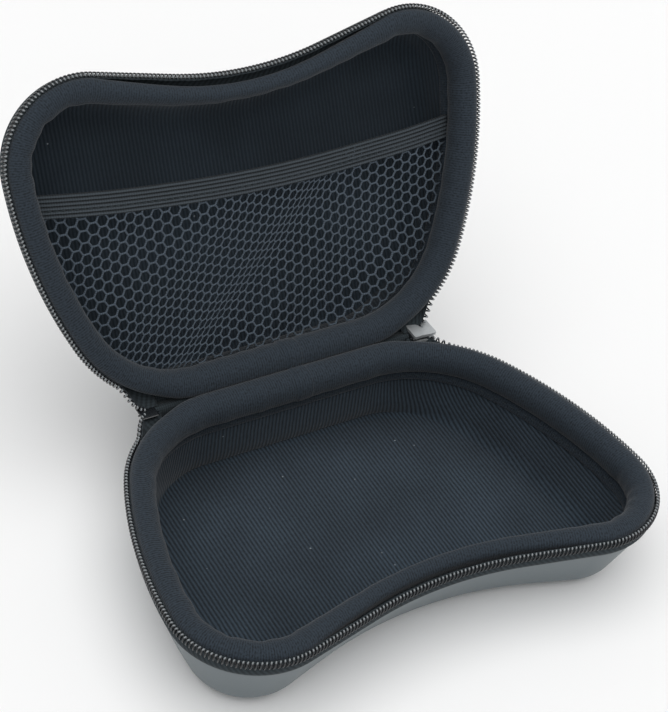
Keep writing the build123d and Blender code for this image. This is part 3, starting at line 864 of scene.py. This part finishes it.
def slack(x, y, height):
    """Waves of a net that hangs a little loose: a few long sines, still at the sewn edges."""
    waves = (
        np.sin(x / 9.5 + y / 21.0 + 0.6)
        + 0.7 * np.sin(x / 15.0 - y / 11.0 + 2.1)
        + 0.5 * np.sin(x / 6.3 + y / 14.0 + 4.0)
    )
    return height * waves / 1.6


def gathered(x, y):
    """Net drawn together across its slanting folds: most in the middle, least at the left and right."""
    turn = math.radians(40.0)
    across = x * math.sin(turn) + y * math.cos(turn)
    moved = 1.05 * across - 15.6 * np.arctan((across - 8.0) / 26.0) + 0.7 * np.sin(across / 5.5)
    return x + (moved - across) * math.sin(turn), y + (moved - across) * math.cos(turn)


def pocket_elastic(ribs, height):
    """Ribbed elastic: a closed section with rounded cords on top, carried across the lid's inside."""
    left, right = pocket_end(-19.5, 7.9, -1), pocket_end(-14.0, 7.9, 1)
    x = np.linspace(left, right, 241)
    across = np.linspace(0, 1, ribs * 8 + 1)
    cords = np.abs(np.sin(math.pi * across * ribs)) ** 0.55
    top = np.stack([across * ELASTIC_W, -8.2 + 0.5 * cords], axis=1)
    low = np.stack([across[::-4] * ELASTIC_W, np.full(len(across[::-4]), -8.4)], axis=1)
    section = np.concatenate([top, low])[::-1]
    still = np.clip(np.minimum(x - left, right - x) / 18.0, 0, 1)
    wave = slack(x, 0 * x, height * 0.35) * still
    y = elastic_edge(x)[:, None] + section[None, :, 0]
    z = section[None, :, 1] + wave[:, None]
    points = np.stack([np.broadcast_to(x[:, None], y.shape), y, z], axis=2)
    v = np.append(section[:, 0], section[0, 0])
    part = grid_part(points[None], x - left, v, closed_v=True, capped=True)
    return mesh_object("pocket_ribbed_elastic", [part], in_lid, True)


def elastic_stitches():
    """Thread that sews the net under the elastic: short stitches that dip in at their ends."""
    left, right = pocket_end(-19.5, 8.6, -1), pocket_end(-14.0, 8.6, 1)
    pitch, length = 2.4, 1.7
    count = int((right - left) / pitch)
    step = np.linspace(-0.5, 0.5, 5)
    x = left + (np.arange(count) + 0.5)[:, None] * pitch + step[None] * length
    y = elastic_edge(x) + 0.67 * ELASTIC_W
    z = -7.75 - 0.35 * (2 * step[None]) ** 4 + 0.0 * x
    centre = np.stack([x, y, z], axis=2)
    return thread("pocket_elastic_thread", "lid", centre, 0.17, np.array([0.0, 0.0, 1.0]), step * length)


def pocket_net(cell, strand, height):
    """Net of six-sided cells with rounded holes, laid over the waves of its slack.

    Each cell is a ring of twelve points at its hole and twelve on its border; between them the strand
    is round in section, twice over for its near and far side.
    """
    column_step = cell * math.sqrt(3) / 2
    rows = np.arange(-int(50 / cell), int(120 / cell) + 1)
    columns = np.arange(-int(120 / column_step), int(120 / column_step) + 1)
    row, column = (a.ravel() for a in np.meshgrid(rows, columns, indexing="ij"))
    cx = column * column_step
    cy = -20.0 + (row + (column % 2) / 2) * cell
    s = np.linspace(-HALF_RIM, HALF_RIM, 720, endpoint=False)
    bx, by, _, _ = rim(s, NET_INSET)
    angle_of = np.arctan2(by - NET_MID_Y, bx)
    order = np.argsort(angle_of)
    edge_angle, edge_reach = angle_of[order], np.hypot(bx, by - NET_MID_Y)[order]

    def reach_share(px, py):
        limit = np.interp(np.arctan2(py - NET_MID_Y, px), edge_angle, edge_reach, period=2 * math.pi)
        return np.hypot(px, py - NET_MID_Y) / limit

    placed_x, placed_y = gathered(cx, cy)
    keep = (reach_share(placed_x, placed_y) < 1.08) & (placed_y > elastic_edge(placed_x) - 0.4 * cell)
    cx, cy = cx[keep], cy[keep]
    turn = np.arange(12) * math.pi / 6
    hexagon = cell / 2 / np.cos(turn % (math.pi / 3) - math.pi / 6)
    hole = (cell - strand) / 2 * (1 + 0.06 * np.cos(6 * turn))
    thick = 0.3
    share = np.array([1.0, 0.25, 0.0, 0.25, 1.0])
    lift = np.array([1.0, 0.75, 0.0, -0.75, -1.0]) * thick
    radius = hole[:, None] + (hexagon - hole)[:, None] * share[None]
    px = cx[:, None, None] + radius[None] * np.cos(turn)[None, :, None]
    py = cy[:, None, None] + radius[None] * np.sin(turn)[None, :, None]
    px, py = gathered(px, py)
    over = reach_share(px, py)
    shrink = np.where(over > 1.0, 1.0 / over, 1.0)
    px, py = px * shrink, NET_MID_Y + (py - NET_MID_Y) * shrink
    front = elastic_edge(px) + 0.8
    edge = (over >= 1.0) | (py <= front)
    py = np.maximum(py, front)
    still = np.clip((1.0 - reach_share(px, py)) / 0.16, 0, 1) * np.clip((py - front - 4.0) / 8.0, 0, 1)
    wave = slack(px, py, height) * still
    pz = -NET_LEVEL - 0.3 + np.where(edge, 0.0, lift[None, None]) + wave
    points = np.stack([px, py, pz], axis=3)
    vertices, groups = grid_part(points, np.arange(13) * 0.8, np.arange(5) * 0.4, closed_u=True)
    faces, corner_uv = groups[0]
    kept = ~edge.ravel()[faces].all(axis=1)
    groups = [(faces[kept], corner_uv[kept])]
    net = mesh_object("pocket_hexagon_net", [(vertices, groups)], in_lid, True, weld=True)
    return net, len(cx)


def seam_stitches(half):
    """Thread of the seam under the roll: short stitches, each a tube that dips into the cloth at its ends."""
    pitch, length = 3.2, 2.5
    count = int(RIM / pitch)
    along = (np.arange(count) + 0.5) * RIM / count - HALF_RIM
    step = np.linspace(-0.5, 0.5, 6)
    s = along[:, None] + step[None] * length
    dip = 0.5 * (2 * step[None]) ** 4
    inset = wall_inset(SEAM_DROP, SHELL_T + LINING_T + 1.12) - dip
    x, y, nx, ny = rim(s, inset, *down_wall(half, SEAM_DROP))
    centre = np.stack([x, y, 0 * x - SEAM_DROP], axis=2)
    across = np.stack([-nx, -ny, 0 * nx], axis=2)
    return thread(half + "_seam_thread", half, centre, 0.17, across, step * length)


# Operators

class CASE_OT_skins(bpy.types.Operator):
    """Moulded skins of both halves."""

    bl_idname = "case.skins"
    bl_label = "Moulded skins"

    def execute(self, context):
        for half in ("base", "lid"):
            piece = dress(closed_bowl(half, half + "_moulded_skin", 0.0, SHELL_T, 480), "shell_skin", half)
            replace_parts(piece, half + "_shell")
        return {"FINISHED"}


class CASE_OT_linings(bpy.types.Operator):
    """Ribbed knit linings of both halves."""

    bl_idname = "case.linings"
    bl_label = "Knit linings"

    def execute(self, context):
        for half in ("base", "lid"):
            made = closed_bowl(half, half + "_knit_lining", SHELL_T + 0.05, SHELL_T + LINING_T, 480)
            # The lid's lining takes the copy of the knit with painted shade
            piece = dress(made, "knit_lining", half, finish="knit_lining_lid_painted_shade" if half == "lid" else None)
            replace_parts(piece, half + "_lining")
        return {"FINISHED"}


class CASE_OT_bindings(bpy.types.Operator):
    """Padded knit bindings of both rims, with the thread of their seams."""

    bl_idname = "case.bindings"
    bl_label = "Padded bindings"

    def execute(self, context):
        sizes = context.scene.case_sizes
        for half in ("base", "lid"):
            piece = dress(binding_roll(half, sizes.binding_rib), "knit_binding", half)
            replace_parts(piece, half + "_binding")
            foot, rim_plane = half_of(half)[0](np.array([(0.0, 0.0, -ROLL_FOOT), (0.0, 0.0, 0.0)]))
            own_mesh(piece)
            dress(seam_stitches(half), "zip_tape", half)
        return {"FINISHED"}


class CASE_OT_zip(bpy.types.Operator):
    """Tapes, coils and closed ends of the zip."""

    bl_idname = "case.zip"
    bl_label = "Coil zip"

    def execute(self, context):
        sizes = context.scene.case_sizes
        for half in ("base", "lid"):
            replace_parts(dress(zip_tape(half), "zip_tape", half), half + "_zip_tape")
            coil = dress(rim_coil(half, sizes.coil_pitch, sizes.coil_wire), "nylon_coil", half)
            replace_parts(coil, half + "_zip_coil")
        for side, word in ((-1, "left"), (1, "right")):
            tail = zip_tail(side, sizes.coil_pitch, sizes.coil_wire)
            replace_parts(dress(tail, "nylon_coil", "base"), "zip_tail_" + word)
        return {"FINISHED"}


class CASE_OT_hinge(bpy.types.Operator):
    """Cloth strip that joins the two halves."""

    bl_idname = "case.hinge"
    bl_label = "Hinge cloth"

    def execute(self, context):
        cloth, start, end = hinge_cloth()
        dress(cloth, "hinge_cloth", None)
        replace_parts(cloth, "hinge_strip_base", "hinge_strip_lid")
        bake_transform(cloth)
        return {"FINISHED"}


class CASE_OT_pocket(bpy.types.Operator):
    """Net and ribbed elastic of the lid's pocket."""

    bl_idname = "case.pocket"
    bl_label = "Net pocket"

    def execute(self, context):
        sizes = context.scene.case_sizes
        elastic = dress(pocket_elastic(sizes.elastic_ribs, sizes.net_wave), "woven_elastic", "lid")
        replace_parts(elastic, "pocket_elastic")
        dress(elastic_stitches(), "zip_tape", "lid")
        net, cells = pocket_net(sizes.net_cell, sizes.net_strand, sizes.net_wave)
        dress(net, "pocket_net_yarn", "lid")
        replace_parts(net, "pocket_net")
        return {"FINISHED"}


class CASE_OT_slider(bpy.types.Operator):
    """Finish of the cast slider and its pull tab."""

    bl_idname = "case.slider"
    bl_label = "Slider and tab"

    def execute(self, context):
        for name in ("slider_body", "pull_tab"):
            dress(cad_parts[name], "cast_metal", None)
        return {"FINISHED"}


class CASE_OT_stage(bpy.types.Operator):
    """Pale floor, soft lights and the camera at the photograph's angle."""

    bl_idname = "case.stage"
    bl_label = "Stage"

    def execute(self, context):
        scene = context.scene
        build_floor(scene.case_colours.floor)
        build_lights()
        build_camera()
        scene.view_settings.view_transform = "Standard"
        return {"FINISHED"}


def build_floor(colour):
    """Wide pale floor with a soft shadow."""
    corners = np.array([(-3.0, -3.0, 0.0), (3.0, -3.0, 0.0), (3.0, 3.0, 0.0), (-3.0, 3.0, 0.0)])
    mesh = bpy.data.meshes.new("floor")
    mesh.from_pydata(corners.tolist(), [], [(0, 1, 2, 3)])
    floor = bpy.data.objects.new("floor", mesh)
    bpy.context.scene.collection.objects.link(floor)
    material, tree = start_material("pale_floor")
    shader = add_node(tree, "BsdfPrincipled", {"Base Color": shade_of(colour), "Roughness": 0.9})
    add_node(tree, "OutputMaterial", None, {"Surface": shader})
    mesh.materials.append(material)


def build_lights():
    """An even sky, a broad key lamp and a weak fill; together they show a colour about as it is written.

    The sky is white where the camera or a reflection sees it, and dimmer where it lights the case.
    """
    world = bpy.data.worlds.new("studio")
    bpy.context.scene.world = world
    world.use_nodes = True
    tree = world.node_tree
    tree.nodes.clear()
    path = add_node(tree, "LightPath")
    seen = path.outputs["Is Camera Ray"]
    for ray in ("Is Glossy Ray", "Is Transmission Ray"):
        seen = add_node(tree, "Math", {"operation": "MAXIMUM"}, {0: seen, 1: path.outputs[ray]})
    strength = add_node(tree, "MapRange", {3: 0.4, 4: 1.0}, {0: seen})
    sky = add_node(tree, "Background", {"Color": (1.0, 1.0, 1.0, 1.0)}, {"Strength": strength})
    add_node(tree, "OutputWorld", None, {"Surface": sky})
    lamps = (("key", 1.9, 75.0, (10.0, 0.0, -40.0)), ("fill", 0.4, 60.0, (48.0, 0.0, -30.0)))
    for name, power, angle, turn in lamps:
        lamp = bpy.data.lights.new(name, "SUN")
        lamp.energy = power
        lamp.angle = math.radians(angle)
        made = bpy.data.objects.new(name, lamp)
        made.rotation_euler = [math.radians(a) for a in turn]
        bpy.context.scene.collection.objects.link(made)


def build_camera():
    """Camera of the photograph: direction, roll, distance and lens were fitted to both rims."""
    azimuth, elevation, roll = (math.radians(a) for a in (-36.80, 40.02, 9.38))
    focal_px = 2192.0
    distance = 0.756
    target = np.array([0.0194, 0.0554, BASE_DEPTH / MM])
    level = math.cos(elevation)
    back = np.array([math.sin(azimuth) * level, -math.cos(azimuth) * level, math.sin(elevation)])
    right = np.array([math.cos(azimuth), math.sin(azimuth), 0.0])
    up = np.cross(back, right)
    right_rolled = math.cos(roll) * right + math.sin(roll) * up
    up_rolled = -math.sin(roll) * right + math.cos(roll) * up
    camera = bpy.data.cameras.new("camera")
    camera.sensor_width = 36.0
    camera.lens = 36.0 * focal_px / max(IMAGE_W, IMAGE_H)
    camera.clip_start, camera.clip_end = 0.05, 20.0
    made = bpy.data.objects.new("camera", camera)
    placed = np.eye(4)
    placed[:3, 0], placed[:3, 1], placed[:3, 2] = right_rolled, up_rolled, back
    placed[:3, 3] = target + back * distance
    made.matrix_world = Matrix(placed.tolist())
    bpy.context.scene.collection.objects.link(made)
    bpy.context.scene.camera = made


OPERATORS = (
    CASE_OT_skins,
    CASE_OT_linings,
    CASE_OT_bindings,
    CASE_OT_zip,
    CASE_OT_hinge,
    CASE_OT_pocket,
    CASE_OT_slider,
    CASE_OT_stage,
)


class CASE_PT_panel(bpy.types.Panel):
    """Lists the sizes, the colours and the pieces of the case."""

    bl_label = "Controller case"
    bl_idname = "CASE_PT_panel"
    bl_space_type = "VIEW_3D"
    bl_region_type = "UI"
    bl_category = "Case"

    def draw(self, context):
        layout = self.layout
        for group in (context.scene.case_sizes, context.scene.case_colours):
            for name in group.__annotations__:
                layout.prop(group, name)
        for operator in OPERATORS:
            layout.operator(operator.bl_idname)


CLASSES = (CaseSizes, CaseColours, CASE_PT_panel, *OPERATORS)


def register():
    for made in CLASSES:
        bpy.utils.register_class(made)
    bpy.types.Scene.case_sizes = PointerProperty(type=CaseSizes)
    bpy.types.Scene.case_colours = PointerProperty(type=CaseColours)


def unregister():
    del bpy.types.Scene.case_colours
    del bpy.types.Scene.case_sizes
    for made in reversed(CLASSES):
        bpy.utils.unregister_class(made)


def main():
    register()
    bpy.ops.case.skins()
    bpy.ops.case.linings()
    bpy.ops.case.bindings()
    bpy.ops.case.zip()
    bpy.ops.case.hinge()
    bpy.ops.case.pocket()
    bpy.ops.case.slider()
    bpy.ops.case.stage()


if __name__ == "__main__":
    main()
